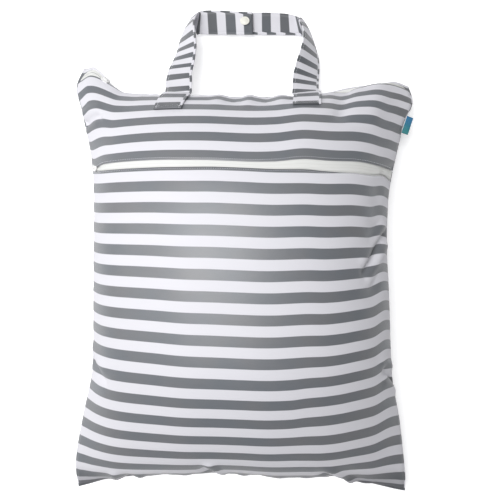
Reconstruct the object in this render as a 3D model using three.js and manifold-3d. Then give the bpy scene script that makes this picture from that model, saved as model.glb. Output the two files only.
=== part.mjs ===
// A cloth wet bag, stuffed full and lying on its back, with a zip across its front, a zip along its top
// edge and a strap handle whose two halves meet in a press snap.
// Millimetres. +X runs across the bag, +Y toward the handle and +Z up from the surface it lies on. The
// origin is on that surface, below the middle of the box around the bag.
import * as THREE from "three";
import { mergeVertices } from "three/addons/utils/BufferGeometryUtils.js";
import Module from "manifold-3d";

// Bag
const cutWidth = 400; // flat width between the side seams
const cutHeight = 500; // flat height between the bottom seam and the top zip
const crown = 145; // height of the stuffed bag
const cloth = 1.5; // wall of striped cloth with its backing
const gap = 0.3; // clearance between neighbouring pieces
const cornerHeight = 28; // the four corners above the surface
const sideSeamHeight = 61; // middle of the side seams above the surface
const endSeamHeight = 58; // middle of the bottom seam and of the top edge above the surface
const restWidth = 236; // flat stretch of the back on the surface, across
const restHeight = 310; // flat stretch of the back on the surface, along
const sideSteepness = 66; // degrees, slope of the front at the side seams
const endSteepness = 69; // degrees, slope of the front at the bottom seam and the top edge

// Zips
const frontZipDrop = 118; // from the top edge down to the front zip, along the cloth
const zipOpening = 9; // tape that shows between the folded cloth edges
const tapeTuck = 6; // tape that lies under each folded edge
const tape = 1; // tape thickness
const coilWidth = 5;
const coilThickness = 1.5;
const sliderLength = 10;
const sliderThickness = 1.8;
const pullLength = 17;
const pullWidth = 6.5;
const pullThickness = 1.4;

// Handle
const strapWidth = 32;
const strapThickness = 2;
const strapTab = 33; // end of each strap that is sewn on the front
const legSpan = 145; // between the middles of the two legs where they leave the bag
const barReach = 107; // from the top edge to the middle of the bar
const barTilt = 14; // degrees, the bar's inner edge is raised
const edgeLift = 1; // how far the strap stands off the cloth where it passes over the top edge
const strapOverlap = 21; // length over which the left strap lies on the right one
const overlapShift = 1.5; // middle of the overlap, to the right of the bag's middle

// Press snap
const capDiameter = 12;
const capHeight = 2;
const socketDiameter = 10;
const socketHeight = 1.8;
const studDiameter = 4.8;
const studHeight = 1.5;
const pinDiameter = 3;

// Side label
const labelLength = 25; // along the seam
const labelReach = 9; // out of the seam
const labelLayer = 1; // thickness of one layer of the folded ribbon
const labelPlace = 0.8; // place of its middle along the right seam, -1 bottom corner to 1 top corner

const halfWidth = cutWidth / 2;
const halfHeight = cutHeight / 2;
const upZ = new THREE.Vector3(0, 0, 1);
const { sin, cos, abs, min, max, exp, PI, sign } = Math;
const clamp = (value, low, high) => min(high, max(low, value));
const mix = (a, b, share) => a + (b - a) * share;
const radians = THREE.MathUtils.degToRad;
const vec = (x, y, z) => new THREE.Vector3(x, y, z);

function smoothstep(low, high, value) {
  const t = clamp((value - low) / (high - low), 0, 1);
  return t * t * (3 - 2 * t);
}

// The seam round the bag. Corners are shares of half the cut width and half the cut height.
const corners = {
  bottomLeft: { across: -1.0, along: -0.97 },
  bottomRight: { across: 0.97, along: -0.99 },
  topLeft: { across: -0.955, along: 0.995 },
  topRight: { across: 0.99, along: 0.94 },
};

// How far the stuffing pulls each side in from the straight line between its corners. "at" runs from
// the bottom or left corner (-1) to the top or right corner (1), "in" is a share of half the cut size.
const leftSide = [
  { at: -1.0, in: 0.0 },
  { at: -0.9, in: -0.004 },
  { at: -0.8, in: 0.018 },
  { at: -0.6, in: 0.066 },
  { at: -0.4, in: 0.118 },
  { at: 0.0, in: 0.125 },
  { at: 0.4, in: 0.115 },
  { at: 0.6, in: 0.083 },
  { at: 0.8, in: 0.012 },
  { at: 0.9, in: -0.03 },
  { at: 1.0, in: 0.0 },
];
const rightSide = [
  { at: -1.0, in: 0.0 },
  { at: -0.9, in: 0.013 },
  { at: -0.8, in: 0.034 },
  { at: -0.6, in: 0.075 },
  { at: -0.4, in: 0.125 },
  { at: 0.0, in: 0.155 },
  { at: 0.2, in: 0.168 },
  { at: 0.4, in: 0.154 },
  { at: 0.6, in: 0.126 },
  { at: 0.8, in: 0.062 },
  { at: 0.9, in: -0.008 },
  { at: 1.0, in: 0.0 },
];
const bottomSide = [
  { at: -1.0, in: 0.0 },
  { at: -0.9, in: 0.033 },
  { at: -0.8, in: 0.062 },
  { at: -0.6, in: 0.094 },
  { at: -0.2, in: 0.128 },
  { at: 0.0, in: 0.125 },
  { at: 0.2, in: 0.11 },
  { at: 0.6, in: 0.1 },
  { at: 0.8, in: 0.052 },
  { at: 1.0, in: 0.0 },
];
const topSide = [
  { at: -1.0, in: 0.0 },
  { at: -0.9, in: 0.042 },
  { at: -0.8, in: 0.083 },
  { at: -0.6, in: 0.103 },
  { at: 0.0, in: 0.104 },
  { at: 0.4, in: 0.088 },
  { at: 0.6, in: 0.045 },
  { at: 0.8, in: 0.008 },
  { at: 0.9, in: -0.012 },
  { at: 1.0, in: 0.0 },
];

// Folds and dents of the front. "across" and "along" are shares of half the cut size in the flat cloth,
// "turn" is the fold's direction in degrees from +X, and the rest are millimetres; depth below 0 is a dent.
const folds = [
  { across: -0.97, along: 0.8, turn: 20, length: 20, width: 6, depth: -4 }, // seam dent, left
  { across: -0.93, along: 0.88, turn: 25, length: 22, width: 8, depth: 2.5 }, // bulge above it
  { across: -0.2, along: -0.955, turn: -28, length: 16, width: 5, depth: 4 }, // bottom tuck
  { across: -0.16, along: -0.99, turn: -28, length: 13, width: 4, depth: -3 }, // pocket below it
  { across: 0.6, along: -0.96, turn: -14, length: 34, width: 7, depth: 5 }, // corner fold
  { across: 0.64, along: -0.995, turn: -12, length: 30, width: 5, depth: -3.5 }, // hollow below it
  { across: 0.95, along: 0.5, turn: 0, length: 14, width: 5, depth: -2.5 }, // zip pucker, right
];

// Smooth value of a column at a place between the rows of a table.
function readTable(rows, column, at) {
  const last = rows.length - 1;
  let i = 0;
  while (i < last - 1 && at > rows[i + 1].at) i++;
  const slope = (k) => {
    const before = rows[max(k - 1, 0)];
    const after = rows[min(k + 1, last)];
    return (after[column] - before[column]) / (after.at - before.at);
  };
  const span = rows[i + 1].at - rows[i].at;
  const t = clamp((at - rows[i].at) / span, 0, 1);
  const start = (1 + 2 * t) * (1 - t) ** 2 * rows[i][column] + t * (1 - t) ** 2 * span * slope(i);
  const end = t * t * (3 - 2 * t) * rows[i + 1][column] + t * t * (t - 1) * span * slope(i + 1);
  return start + end;
}

// A point of one side of the seam loop.
const heightPower = 2.2; // how late the seam drops toward a corner
function sidePoint(rows, from, to, at, outward, middleHeight) {
  const share = (at + 1) / 2;
  const pull = readTable(rows, "in", at);
  const across = mix(corners[from].across, corners[to].across, share) - outward.x * pull;
  const along = mix(corners[from].along, corners[to].along, share) - outward.y * pull;
  const height = mix(middleHeight, cornerHeight, abs(at) ** heightPower);
  return vec(across * halfWidth, along * halfHeight, height);
}
const left = (at) => sidePoint(leftSide, "bottomLeft", "topLeft", at, vec(-1, 0, 0), sideSeamHeight);
const right = (at) => sidePoint(rightSide, "bottomRight", "topRight", at, vec(1, 0, 0), sideSeamHeight);
const bottom = (at) => sidePoint(bottomSide, "bottomLeft", "bottomRight", at, vec(0, -1, 0), endSeamHeight);
const top = (at) => sidePoint(topSide, "topLeft", "topRight", at, vec(0, 1, 0), endSeamHeight);

// The patch that spans the seam loop, before the stuffing rounds it.
function seamPatch(u, v) {
  const s = (u + 1) / 2;
  const t = (v + 1) / 2;
  const [l, r, b, tp] = [left(v), right(v), bottom(u), top(u)];
  const p = vec(0, 0, 0);
  p.addScaledVector(l, 1 - s).addScaledVector(r, s).addScaledVector(b, 1 - t).addScaledVector(tp, t);
  p.addScaledVector(left(-1), -(1 - s) * (1 - t)).addScaledVector(right(-1), -s * (1 - t));
  p.addScaledVector(left(1), -(1 - s) * t).addScaledVector(right(1), -s * t);
  const slackAcross = halfWidth - (r.x - l.x) / 2;
  const slackAlong = halfHeight - (tp.y - b.y) / 2;
  return { p, slackAcross, slackAlong };
}

// Profile of the stuffed front: the slope grows with the distance from the middle up to the seam.
function frontProfile(steepness, power) {
  const steps = 60;
  const reach = [0];
  const drop = [0];
  for (let i = 0; i < steps; i++) {
    const slope = radians(steepness) * ((i + 0.5) / steps) ** power;
    reach.push(reach[i] + cos(slope) / steps);
    drop.push(drop[i] + sin(slope) / steps);
  }
  const read = (list, share) => {
    const place = clamp(abs(share), 0, 1) * steps;
    const i = min(steps - 1, Math.floor(place));
    return mix(list[i], list[i + 1], place - i);
  };
  const span = reach[steps];
  return {
    spread: (share) => (sign(share) * read(reach, share) - span * share) / (1 - span),
    rise: (share) => 1 - read(drop, share) / drop[steps],
  };
}

// Profile of the back: flat where it rests, then a quarter of an ellipse up to the seam.
function backProfile(flat) {
  const span = backReach;
  const bend = (share) => (clamp((abs(share) - flat) / (1 - flat), 0, 1) * PI) / 2;
  const reach = (share) => (abs(share) <= flat ? abs(share) : flat + (span - flat) * sin(bend(share)));
  return {
    spread: (share) => (sign(share) * reach(share) - span * share) / (1 - span),
    sag: (share) => 1 - cos(bend(share)),
  };
}
const sideLateness = 1.5; // how late the front turns down toward the sides
const endLateness = 2; // how late it turns down toward the ends
const backReach = 0.86; // how far the back reaches across, as a share of its flat cloth
const acrossFront = frontProfile(sideSteepness, sideLateness);
const alongFront = frontProfile(endSteepness, endLateness);
const acrossBack = backProfile(restWidth / cutWidth);
const alongBack = backProfile(restHeight / cutHeight);

// Room that the zip's tapes need between front and back, where the top corners lie flat together.
const zipRoom = tape + 2 * gap;
const roomFade = 20; // stretch over which the cloth opens up to that room
const roomEnd = halfHeight - zipOpening / 2 - tapeTuck;
const roomStart = roomEnd - roomFade;
function tapeRoom(u, v) {
  const flatness = 1 - acrossFront.rise(u) ** 3;
  const cornerShare = (1 - acrossFront.rise(u)) * (1 - alongFront.rise(v));
  const spacing = (gap / 2) * (1 + 3 * cornerShare);
  return spacing + zipRoom * flatness * smoothstep(roomStart, roomEnd, v * halfHeight);
}

function foldHeight(u, v) {
  let height = 0;
  for (const fold of folds) {
    const x = (u - fold.across) * halfWidth;
    const y = (v - fold.along) * halfHeight;
    const lengthwise = x * cos(radians(fold.turn)) + y * sin(radians(fold.turn));
    const crosswise = y * cos(radians(fold.turn)) - x * sin(radians(fold.turn));
    height += fold.depth * exp(-((lengthwise / fold.length) ** 2) - (crosswise / fold.width) ** 2);
  }
  return height * (1 - smoothstep(0.96, 1, max(abs(u), abs(v))));
}

// Inner faces of front and back at a place of the flat cloth, u and v from -1 to 1.
const stuffing = crown - cloth - gap / 2 - seamPatch(0, 0).p.z; // crown's rise over the seam patch
function roundedFront(u, v) {
  const { p, slackAcross, slackAlong } = seamPatch(u, v);
  p.x += slackAcross * acrossFront.spread(u);
  p.y += slackAlong * alongFront.spread(v);
  p.z += stuffing * acrossFront.rise(u) * alongFront.rise(v) + tapeRoom(u, v);
  return p;
}
function front(u, v) {
  const p = roundedFront(u, v);
  const height = foldHeight(u, v);
  return abs(height) < 1e-3 ? p : p.addScaledVector(normalOf(roundedFront, u, v, 1), height);
}
function back(u, v) {
  const { p, slackAcross, slackAlong } = seamPatch(u, v);
  p.x += slackAcross * acrossBack.spread(u);
  p.y += slackAlong * alongBack.spread(v);
  const share = 1 - (1 - acrossBack.sag(u)) * (1 - alongBack.sag(v));
  p.z = mix(cloth, p.z - tapeRoom(u, v), share);
  return p;
}

// Outward normal of a face; side is 1 for the front and -1 for the back.
function normalOf(face, u, v, side) {
  const step = 0.002;
  const alongU = face(min(u + step, 1), v).sub(face(max(u - step, -1), v));
  const alongV = face(u, min(v + step, 1)).sub(face(u, max(v - step, -1)));
  return alongU.cross(alongV).normalize().multiplyScalar(side);
}

// Closed body between two layers of points, each a grid of rows; the outer layer comes first.
function slab(outer, inner) {
  const rows = outer.length;
  const columns = outer[0].length;
  const points = [...outer.flat(), ...inner.flat()];
  const index = (layer, row, column) => layer * rows * columns + row * columns + column;
  const faces = [];
  const quad = (a, b, c, d) => faces.push(a, b, c, a, c, d);
  for (let r = 0; r < rows - 1; r++)
    for (let c = 0; c < columns - 1; c++) {
      quad(index(0, r, c), index(0, r, c + 1), index(0, r + 1, c + 1), index(0, r + 1, c));
      const [a, b] = [index(1, r, c), index(1, r, c + 1)];
      const [d, e] = [index(1, r + 1, c), index(1, r + 1, c + 1)];
      faces.push(a, e, b, a, d, e);
    }
  const rim = [];
  for (let c = 0; c < columns - 1; c++) rim.push([0, c]);
  for (let r = 0; r < rows - 1; r++) rim.push([r, columns - 1]);
  for (let c = columns - 1; c > 0; c--) rim.push([rows - 1, c]);
  for (let r = rows - 1; r > 0; r--) rim.push([r, 0]);
  rim.forEach(([r, c], i) => {
    const [nextRow, nextColumn] = rim[(i + 1) % rim.length];
    quad(index(1, r, c), index(1, nextRow, nextColumn), index(0, nextRow, nextColumn), index(0, r, c));
  });
  const geometry = new THREE.BufferGeometry().setFromPoints(points);
  geometry.setIndex(faces);
  return geometry;
}

// A wall that follows a face, from "low" to "high" above its inner side.
function wallOn(face, side, us, vs, low, high) {
  const layer = (height) =>
    vs.map((v) => us.map((u) => face(u, v).addScaledVector(normalOf(face, u, v, side), height)));
  const [under, over] = [layer(low), layer(high)];
  return side > 0 ? slab(over, under) : slab(under, over);
}

// Columns across the bag, closer together near the side seams, and rows given in flat millimetres.
const columnCount = 30;
const columns = Array.from({ length: columnCount + 1 }, (_, i) => {
  const s = (2 * i) / columnCount - 1;
  return s * (1.25 - 0.25 * s * s);
});
const rowsBetween = (from, to, count) => Array.from({ length: count + 1 }, (_, i) => mix(from, to, i / count));
const toShare = (list) => list.map((y) => y / halfHeight);

const zipLine = halfHeight - frontZipDrop;
const lowerRim = zipLine - zipOpening / 2;
const upperRim = zipLine + zipOpening / 2;
const topRim = halfHeight - zipOpening / 2;
const steepStretch = 60; // lowest stretch of the front, with closer rows
const lowerRows = [
  ...rowsBetween(-halfHeight, -halfHeight + steepStretch, 6),
  ...rowsBetween(-halfHeight + steepStretch, lowerRim - tapeTuck, 12).slice(1),
  lowerRim,
];
const upperRows = [
  upperRim,
  ...rowsBetween(upperRim + tapeTuck, roomStart, 5),
  ...rowsBetween(roomStart, roomEnd, 3).slice(1),
  topRim,
];
const backRows = [...lowerRows, ...upperRows]; // the same, so that the two rims follow each other

const group = new THREE.Group();
function add(name, geometry, color, roughness, metalness = 0) {
  const material = new THREE.MeshStandardMaterial({ color, roughness, metalness });
  const mesh = new THREE.Mesh(geometry, material);
  mesh.name = name;
  group.add(mesh);
  return mesh;
}
const stripedCloth = 0xb4b6bb;
const whiteTape = 0xf2f2f0;
const creamPlastic = 0xf4f4ee;
const tealRibbon = 0x1f8a8c;

// Cutting and joining of closed geometries.
const wasm = await Module();
wasm.setup();
function solid(geometry) {
  const bare = geometry.clone();
  bare.deleteAttribute("normal");
  bare.deleteAttribute("uv");
  const merged = mergeVertices(bare, 1e-4);
  const vertProperties = new Float32Array(merged.attributes.position.array);
  const triVerts = new Uint32Array(merged.index.array);
  return new wasm.Manifold(new wasm.Mesh({ numProp: 3, vertProperties, triVerts }));
}
function geometryOf(body) {
  const { vertProperties, triVerts } = body.getMesh();
  const geometry = new THREE.BufferGeometry();
  geometry.setAttribute("position", new THREE.BufferAttribute(vertProperties, 3));
  return geometry.setIndex(new THREE.BufferAttribute(triVerts, 1));
}

// Panels
const panel = (face, side, rows) => wallOn(face, side, columns, toShare(rows), 0, cloth);
add("front_lower_panel", panel(front, 1, lowerRows), stripedCloth, 0.8);
add("front_upper_panel", panel(front, 1, upperRows), stripedCloth, 0.8);
add("back_panel", panel(back, -1, backRows), stripedCloth, 0.8);

// Zip tapes: each lies under a folded edge and reaches to the middle of the opening.
function tapeStrip(name, face, side, rows) {
  const geometry = wallOn(face, side, columns, toShare(rows), -gap - tape, -gap);
  add(name, geometry, whiteTape, 0.75);
}
const middleGap = gap / 2;
const topMiddle = halfHeight - 2 * gap; // the top zip's tapes lean toward each other at the edge
tapeStrip("front_zip_tape_upper", front, 1, [zipLine + middleGap, upperRim, upperRim + tapeTuck]);
tapeStrip("front_zip_tape_lower", front, 1, [lowerRim - tapeTuck, lowerRim, zipLine - middleGap]);
tapeStrip("top_zip_tape_front", front, 1, [roomEnd, topRim, topMiddle]);
tapeStrip("top_zip_tape_back", back, -1, [roomEnd, topRim, topMiddle]);

// Frame on a zip: along it, across it toward the crown, and out of the bag.
function frontZipFrame(u) {
  const v = zipLine / halfHeight;
  const out = normalOf(front, u, v, 1);
  const along = front(min(u + 0.01, 1), v).sub(front(max(u - 0.01, -1), v)).normalize();
  return { at: front(u, v), along, across: out.clone().cross(along), out };
}
function topZipFrame(u) {
  const at = front(u, 1).add(back(u, 1)).multiplyScalar(0.5);
  const along = top(min(u + 0.01, 1)).sub(top(max(u - 0.01, -1))).normalize();
  const out = normalOf(front, u, 1, 1).add(normalOf(back, u, 1, -1)).normalize();
  out.addScaledVector(along, -out.dot(along)).normalize();
  return { at, along, across: out.clone().cross(along), out };
}

// Coils: a flat bar behind the middle of the tapes, over the share of the zip between two columns.
function coil(name, frameAt, reach, depth) {
  const places = columns.filter((u) => abs(u) <= reach);
  const edge = (height, width) =>
    places.map((u) => {
      const { at, across, out } = frameAt(u);
      return at.addScaledVector(out, height).addScaledVector(across, width);
    });
  const layer = (height) => [edge(height, -coilWidth / 2), edge(height, coilWidth / 2)];
  add(name, slab(layer(-depth), layer(-depth - coilThickness)), whiteTape, 0.45);
}
const bendRoom = 0.9; // the top zip's tapes bend inward on both sides of its middle
coil("front_zip_coil", frontZipFrame, 0.95, tape + 2 * gap);
coil("top_zip_coil", topZipFrame, 0.62, tape + 2 * gap + bendRoom);

// Slider with its pull, one body: a block in the opening and a plate that lies over the cloth.
function slider(name, { at, along, across, out }, turn) {
  const block = new THREE.BoxGeometry(sliderLength, zipOpening - 2, sliderThickness);
  block.translate(0, 0, sliderThickness / 2);
  const outline = new THREE.Shape();
  const half = pullWidth / 2;
  outline.moveTo(0, -half).lineTo(pullLength - half, -half);
  outline.absarc(pullLength - half, 0, half, -PI / 2, PI / 2, false);
  outline.lineTo(0, half).closePath();
  const plate = new THREE.ExtrudeGeometry(outline, {
    depth: pullThickness,
    bevelEnabled: false,
    curveSegments: 5,
  });
  plate.rotateZ(radians(turn)).translate(0, 0, sliderThickness - 0.2);
  const place = new THREE.Matrix4().makeBasis(along, across, out).setPosition(at);
  const body = solid(block).add(solid(plate));
  add(name, geometryOf(body).applyMatrix4(place), whiteTape, 0.4);
}
slider("front_zip_slider", frontZipFrame(-0.95), 180 + 20);
slider("top_zip_slider", topZipFrame(-0.84), 180);

// Handle. Rows of a leg run from the bag to the bar: "across" is a share of half the leg span from the
// handle's middle, "beyond" a share of the bar's reach past the top edge, "up" a share of the fall from
// the top edge to the bar, "tilt" turns the strap about its length, with its inner edge up, and "stack"
// is the share of the lift onto the other strap.
const leftLeg = [
  { across: -1.003, beyond: 0.135, up: 0.85, tilt: 15, stack: 0 },
  { across: -1.0, beyond: 0.256, up: 0.716, tilt: 24, stack: 0 },
  { across: -0.976, beyond: 0.374, up: 0.612, tilt: 30, stack: 0 },
  { across: -0.945, beyond: 0.492, up: 0.527, tilt: 36, stack: 0 },
  { across: -0.911, beyond: 0.608, up: 0.45, tilt: 45, stack: 0 },
  { across: -0.882, beyond: 0.744, up: 0.384, tilt: 57, stack: 0 },
  { across: -0.861, beyond: 0.869, up: 0.318, tilt: 68, stack: 0 },
  { across: -0.846, beyond: 0.975, up: 0.267, tilt: 77, stack: 0 },
  { across: -0.815, beyond: 1.058, up: 0.23, tilt: 80, stack: 0 },
  { across: -0.73, beyond: 1.09, up: 0.195, tilt: 63, stack: 0 },
  { across: -0.63, beyond: 1.055, up: 0.09, tilt: 37, stack: 0 },
  { across: -0.5, beyond: 1.015, up: 0.015, tilt: 18, stack: 0.1 },
  { across: -0.33, beyond: 1.0, up: 0, tilt: 14, stack: 0.5 },
];
const rightLeg = [
  { across: 1.012, beyond: 0.135, up: 0.85, tilt: 14, stack: 0 },
  { across: 1.029, beyond: 0.256, up: 0.716, tilt: 19, stack: 0 },
  { across: 1.048, beyond: 0.374, up: 0.612, tilt: 28, stack: 0 },
  { across: 1.065, beyond: 0.492, up: 0.527, tilt: 40, stack: 0 },
  { across: 1.07, beyond: 0.608, up: 0.45, tilt: 54, stack: 0 },
  { across: 1.055, beyond: 0.744, up: 0.384, tilt: 65, stack: 0 },
  { across: 1.01, beyond: 0.869, up: 0.318, tilt: 71, stack: 0 },
  { across: 0.955, beyond: 0.975, up: 0.267, tilt: 78, stack: 0 },
  { across: 0.885, beyond: 1.04, up: 0.23, tilt: 79, stack: 0 },
  { across: 0.79, beyond: 1.06, up: 0.195, tilt: 63, stack: 0 },
  { across: 0.68, beyond: 1.035, up: 0.09, tilt: 37, stack: 0 },
  { across: 0.55, beyond: 1.005, up: 0.015, tilt: 18, stack: 0 },
  { across: 0.38, beyond: 1.0, up: 0, tilt: 14, stack: 0 },
];

const strapSpacing = socketHeight + studHeight; // between the straps where the snap joins them
const edgeY = top(0).y;
const barRise = (strapWidth / 2) * sin(radians(barTilt));
const barHeight = gap + barRise + (strapThickness / 2) * cos(radians(barTilt));
const barOut = vec(0, sin(radians(barTilt)), cos(radians(barTilt)));
const stackLift = strapThickness + strapSpacing;
const legFoot = top(0).z; // strap where it leaves the top edge

// Rows of one strap, from its sewn end on the front to its free end at the snap. Each has the middle of
// the section, the direction out of its upper face and the share of the lift onto the other strap.
function strapRows(side, leg, slant) {
  const footX = (side * legSpan) / 2;
  const footU = (footX - seamPatch(0, 1).p.x) / ((right(1).x - left(1).x) / 2);
  const tabTo = halfHeight - gap;
  const tab = rowsBetween(halfHeight - strapTab, tabTo, 4).map((y, i) => {
    const u = footU + (side * slant * (tabTo - y)) / halfWidth;
    const out = normalOf(front, u, y / halfHeight, 1);
    const height = cloth + gap + strapThickness / 2 + (edgeLift * i) / 4;
    return { p: front(u, y / halfHeight).addScaledVector(out, height), out, stack: 0 };
  });
  const stacked = side < 0 ? 1 : 0;
  const barX = [overlapShift + side * strapOverlap * 0.7, overlapShift, overlapShift - (side * strapOverlap) / 2];
  const barRow = (x) => ({ across: (2 * x) / legSpan, beyond: 1, up: 0, tilt: barTilt, stack: stacked });
  const free = [...leg, ...barX.map(barRow)].map((row) => {
    const y = edgeY + row.beyond * barReach;
    const z = mix(barHeight, legFoot, row.up);
    return { p: vec((row.across * legSpan) / 2, y, z), tilt: radians(row.tilt), stack: row.stack };
  });
  free.forEach((row, i) => {
    const before = i > 0 ? free[i - 1] : row;
    const after = free[min(i + 1, free.length - 1)];
    const ahead = after.p.clone().sub(before.p).normalize();
    const level = ahead.clone().cross(upZ).normalize();
    const rise = level.clone().cross(ahead);
    row.out = rise.multiplyScalar(cos(row.tilt)).addScaledVector(level, side * sin(row.tilt));
  });
  return [...tab, ...free].map(({ p, out, stack }, at) => {
    return { at, stack, x: p.x, y: p.y, z: p.z, outX: out.x, outY: out.y, outZ: out.z };
  });
}

// The strap itself: a rectangle swept through its rows, inner edge toward the middle of the loop.
function strapGeometry(side, rows, stepsPerRow) {
  const end = rows.length - 1;
  const read = (at, ...names) => vec(...names.map((name) => readTable(rows, name, at)));
  const pointAt = (at) => read(at, "x", "y", "z");
  const sections = Array.from({ length: end * stepsPerRow + 1 }, (_, i) => {
    const at = i / stepsPerRow;
    const ahead = pointAt(min(at + 0.05, end)).sub(pointAt(max(at - 0.05, 0))).normalize();
    const across = ahead.clone().cross(read(at, "outX", "outY", "outZ")).normalize();
    const out = across.clone().cross(ahead);
    const middle = pointAt(at).addScaledVector(barOut, readTable(rows, "stack", at) * stackLift);
    const lowest = (strapWidth / 2) * abs(across.z) + (strapThickness / 2) * abs(out.z) + gap;
    middle.z = max(middle.z, lowest);
    return { middle, across, out };
  });
  const corner = ({ middle, across, out }, width, height) =>
    middle.clone().addScaledVector(across, width * strapWidth).addScaledVector(out, height * strapThickness);
  const layer = (height) => [0.5, -0.5].map((width) => sections.map((s) => corner(s, width, height)));
  return slab(layer(0.5), layer(-0.5));
}

// Snap frame: z runs out of the bar's upper face, and 0 is the underside of the right strap.
const snapFoot = vec(overlapShift, edgeY + barReach, barHeight).addScaledVector(barOut, -strapThickness / 2);
const snapPlace = new THREE.Matrix4().makeRotationX(-radians(barTilt)).setPosition(snapFoot);
const turned = (profile, sides) => {
  const points = profile.map(([r, z]) => new THREE.Vector2(r, z));
  return new THREE.LatheGeometry(points, sides).rotateX(PI / 2).applyMatrix4(snapPlace);
};
const round = 16;
const pin = pinDiameter / 2;
const hole = pin + gap;
const leftUnder = strapThickness + strapSpacing;
const leftOver = leftUnder + strapThickness;
const holeTool = turned([[0, -5], [hole, -5], [hole, leftOver + 5], [0, leftOver + 5]], round);
function strap(name, side, leg, slant) {
  const swept = strapGeometry(side, strapRows(side, leg, slant), 3);
  const body = solid(swept).subtract(solid(holeTool));
  add(name, geometryOf(body), stripedCloth, 0.8);
}
strap("handle_strap_left", -1, leftLeg, 0.2);
strap("handle_strap_right", 1, rightLeg, 0);

const capRadius = capDiameter / 2;
const capRim = capHeight * 0.45;
add(
  "snap_cap",
  turned(
    [
      [0, leftUnder + gap],
      [pin, leftUnder + gap],
      [pin, leftOver + gap],
      [capRadius * 0.94, leftOver + gap],
      [capRadius, leftOver + gap + capRim * 0.5],
      [capRadius * 0.93, leftOver + gap + capRim],
      [capRadius * 0.6, leftOver + gap + capHeight * 0.85],
      [0, leftOver + gap + capHeight],
    ],
    24,
  ),
  creamPlastic,
  0.3,
);
const stud = studDiameter / 2;
const socketOuter = socketDiameter / 2;
const socketInner = stud + gap;
const socketLow = leftUnder - gap - socketHeight;
const studBase = strapThickness + gap;
const studFlange = socketLow - gap - studBase;
add(
  "snap_socket",
  turned(
    [
      [socketInner, socketLow],
      [socketOuter, socketLow],
      [socketOuter, leftUnder - gap],
      [socketInner, leftUnder - gap],
      [socketInner, socketLow],
    ],
    round,
  ),
  creamPlastic,
  0.35,
);
add(
  "snap_stud",
  turned(
    [
      [0, studBase],
      [socketOuter, studBase],
      [socketOuter, studBase + studFlange],
      [stud, studBase + studFlange],
      [stud, leftUnder - 2 * gap],
      [0, leftUnder - 2 * gap],
    ],
    round,
  ),
  creamPlastic,
  0.35,
);
add(
  "snap_back",
  turned(
    [
      [0, -gap - capRim],
      [capRadius, -gap - capRim],
      [capRadius, -gap],
      [pin, -gap],
      [pin, strapThickness],
      [0, strapThickness],
    ],
    round,
  ),
  creamPlastic,
  0.35,
);

// Side label: a ribbon folded on itself, its cut ends at the right seam.
function sideLabel() {
  const seam = right(labelPlace);
  const along = right(labelPlace + 0.02).sub(right(labelPlace - 0.02)).normalize();
  const outward = along.clone().cross(upZ).normalize();
  const over = outward.clone().cross(along).negate();
  const outline = new THREE.Shape();
  const outer = labelLayer + gap;
  const fold = labelReach - outer;
  outline.moveTo(0, -outer).lineTo(fold, -outer);
  outline.absarc(fold, 0, outer, -PI / 2, PI / 2, false);
  outline.lineTo(0, outer).lineTo(0, gap).lineTo(fold, gap);
  outline.absarc(fold, 0, gap, PI / 2, -PI / 2, true);
  outline.lineTo(0, -gap).closePath();
  const ribbon = new THREE.ExtrudeGeometry(outline, {
    depth: labelLength,
    bevelEnabled: false,
    curveSegments: 4,
  });
  ribbon.translate(0, 0, -labelLength / 2);
  const place = new THREE.Matrix4().makeBasis(outward, over, along);
  const faces = [normalOf(front, 1, labelPlace, 1), normalOf(back, 1, labelPlace, -1)];
  const wall = cloth * max(0, ...faces.map((out) => out.dot(outward)));
  const root = seam.addScaledVector(outward, wall + gap);
  return ribbon.applyMatrix4(place.setPosition(root));
}
add("side_label", sideLabel(), tealRibbon, 0.5);

// The origin goes below the middle of the box around the bag, on the surface.
const box = new THREE.Box3().setFromObject(group);
group.position.set(-(box.min.x + box.max.x) / 2, -(box.min.y + box.max.y) / 2, -box.min.z);

export default group;
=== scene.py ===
# A stuffed cloth wet bag with grey and white stripes, lying on its back and seen from straight above.
# Its cloth is drawn as a flat pattern laid over the stuffing, and settles as simulated cloth.
# Sizes are millimetres in the bag's own frame, whose middle is the middle of the cloth.
# The pieces themselves are in metres.
import math

import bmesh
import bpy
from mathutils import Matrix, Vector


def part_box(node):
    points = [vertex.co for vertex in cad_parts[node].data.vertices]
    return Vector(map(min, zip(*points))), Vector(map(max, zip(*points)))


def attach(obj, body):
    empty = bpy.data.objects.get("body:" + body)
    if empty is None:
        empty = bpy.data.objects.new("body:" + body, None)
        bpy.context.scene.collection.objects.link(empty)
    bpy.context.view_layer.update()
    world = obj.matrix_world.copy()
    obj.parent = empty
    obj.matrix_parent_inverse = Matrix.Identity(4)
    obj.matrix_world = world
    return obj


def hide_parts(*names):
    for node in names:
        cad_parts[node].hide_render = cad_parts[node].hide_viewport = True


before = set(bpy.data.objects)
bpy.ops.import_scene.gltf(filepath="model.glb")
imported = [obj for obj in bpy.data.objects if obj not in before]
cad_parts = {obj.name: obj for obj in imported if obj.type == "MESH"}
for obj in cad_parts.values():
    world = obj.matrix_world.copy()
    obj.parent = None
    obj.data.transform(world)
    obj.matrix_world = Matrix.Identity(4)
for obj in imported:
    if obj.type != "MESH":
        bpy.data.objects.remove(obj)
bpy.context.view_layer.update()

MM = 0.001
UP = Vector((0, 0, 1))

# The cloth, as in the part
CUT_WIDTH = 400.0
CUT_HEIGHT = 500.0
CROWN = 145.0
CLOTH = 1.2
GAP = 0.3
CORNER_HEIGHT = 28.0
SIDE_SEAM_HEIGHT = 61.0
END_SEAM_HEIGHT = 58.0
REST_WIDTH = 236.0
REST_HEIGHT = 310.0
HALF_WIDTH = CUT_WIDTH / 2
HALF_HEIGHT = CUT_HEIGHT / 2
STRIPE = 11.2  # width of one stripe

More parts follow.
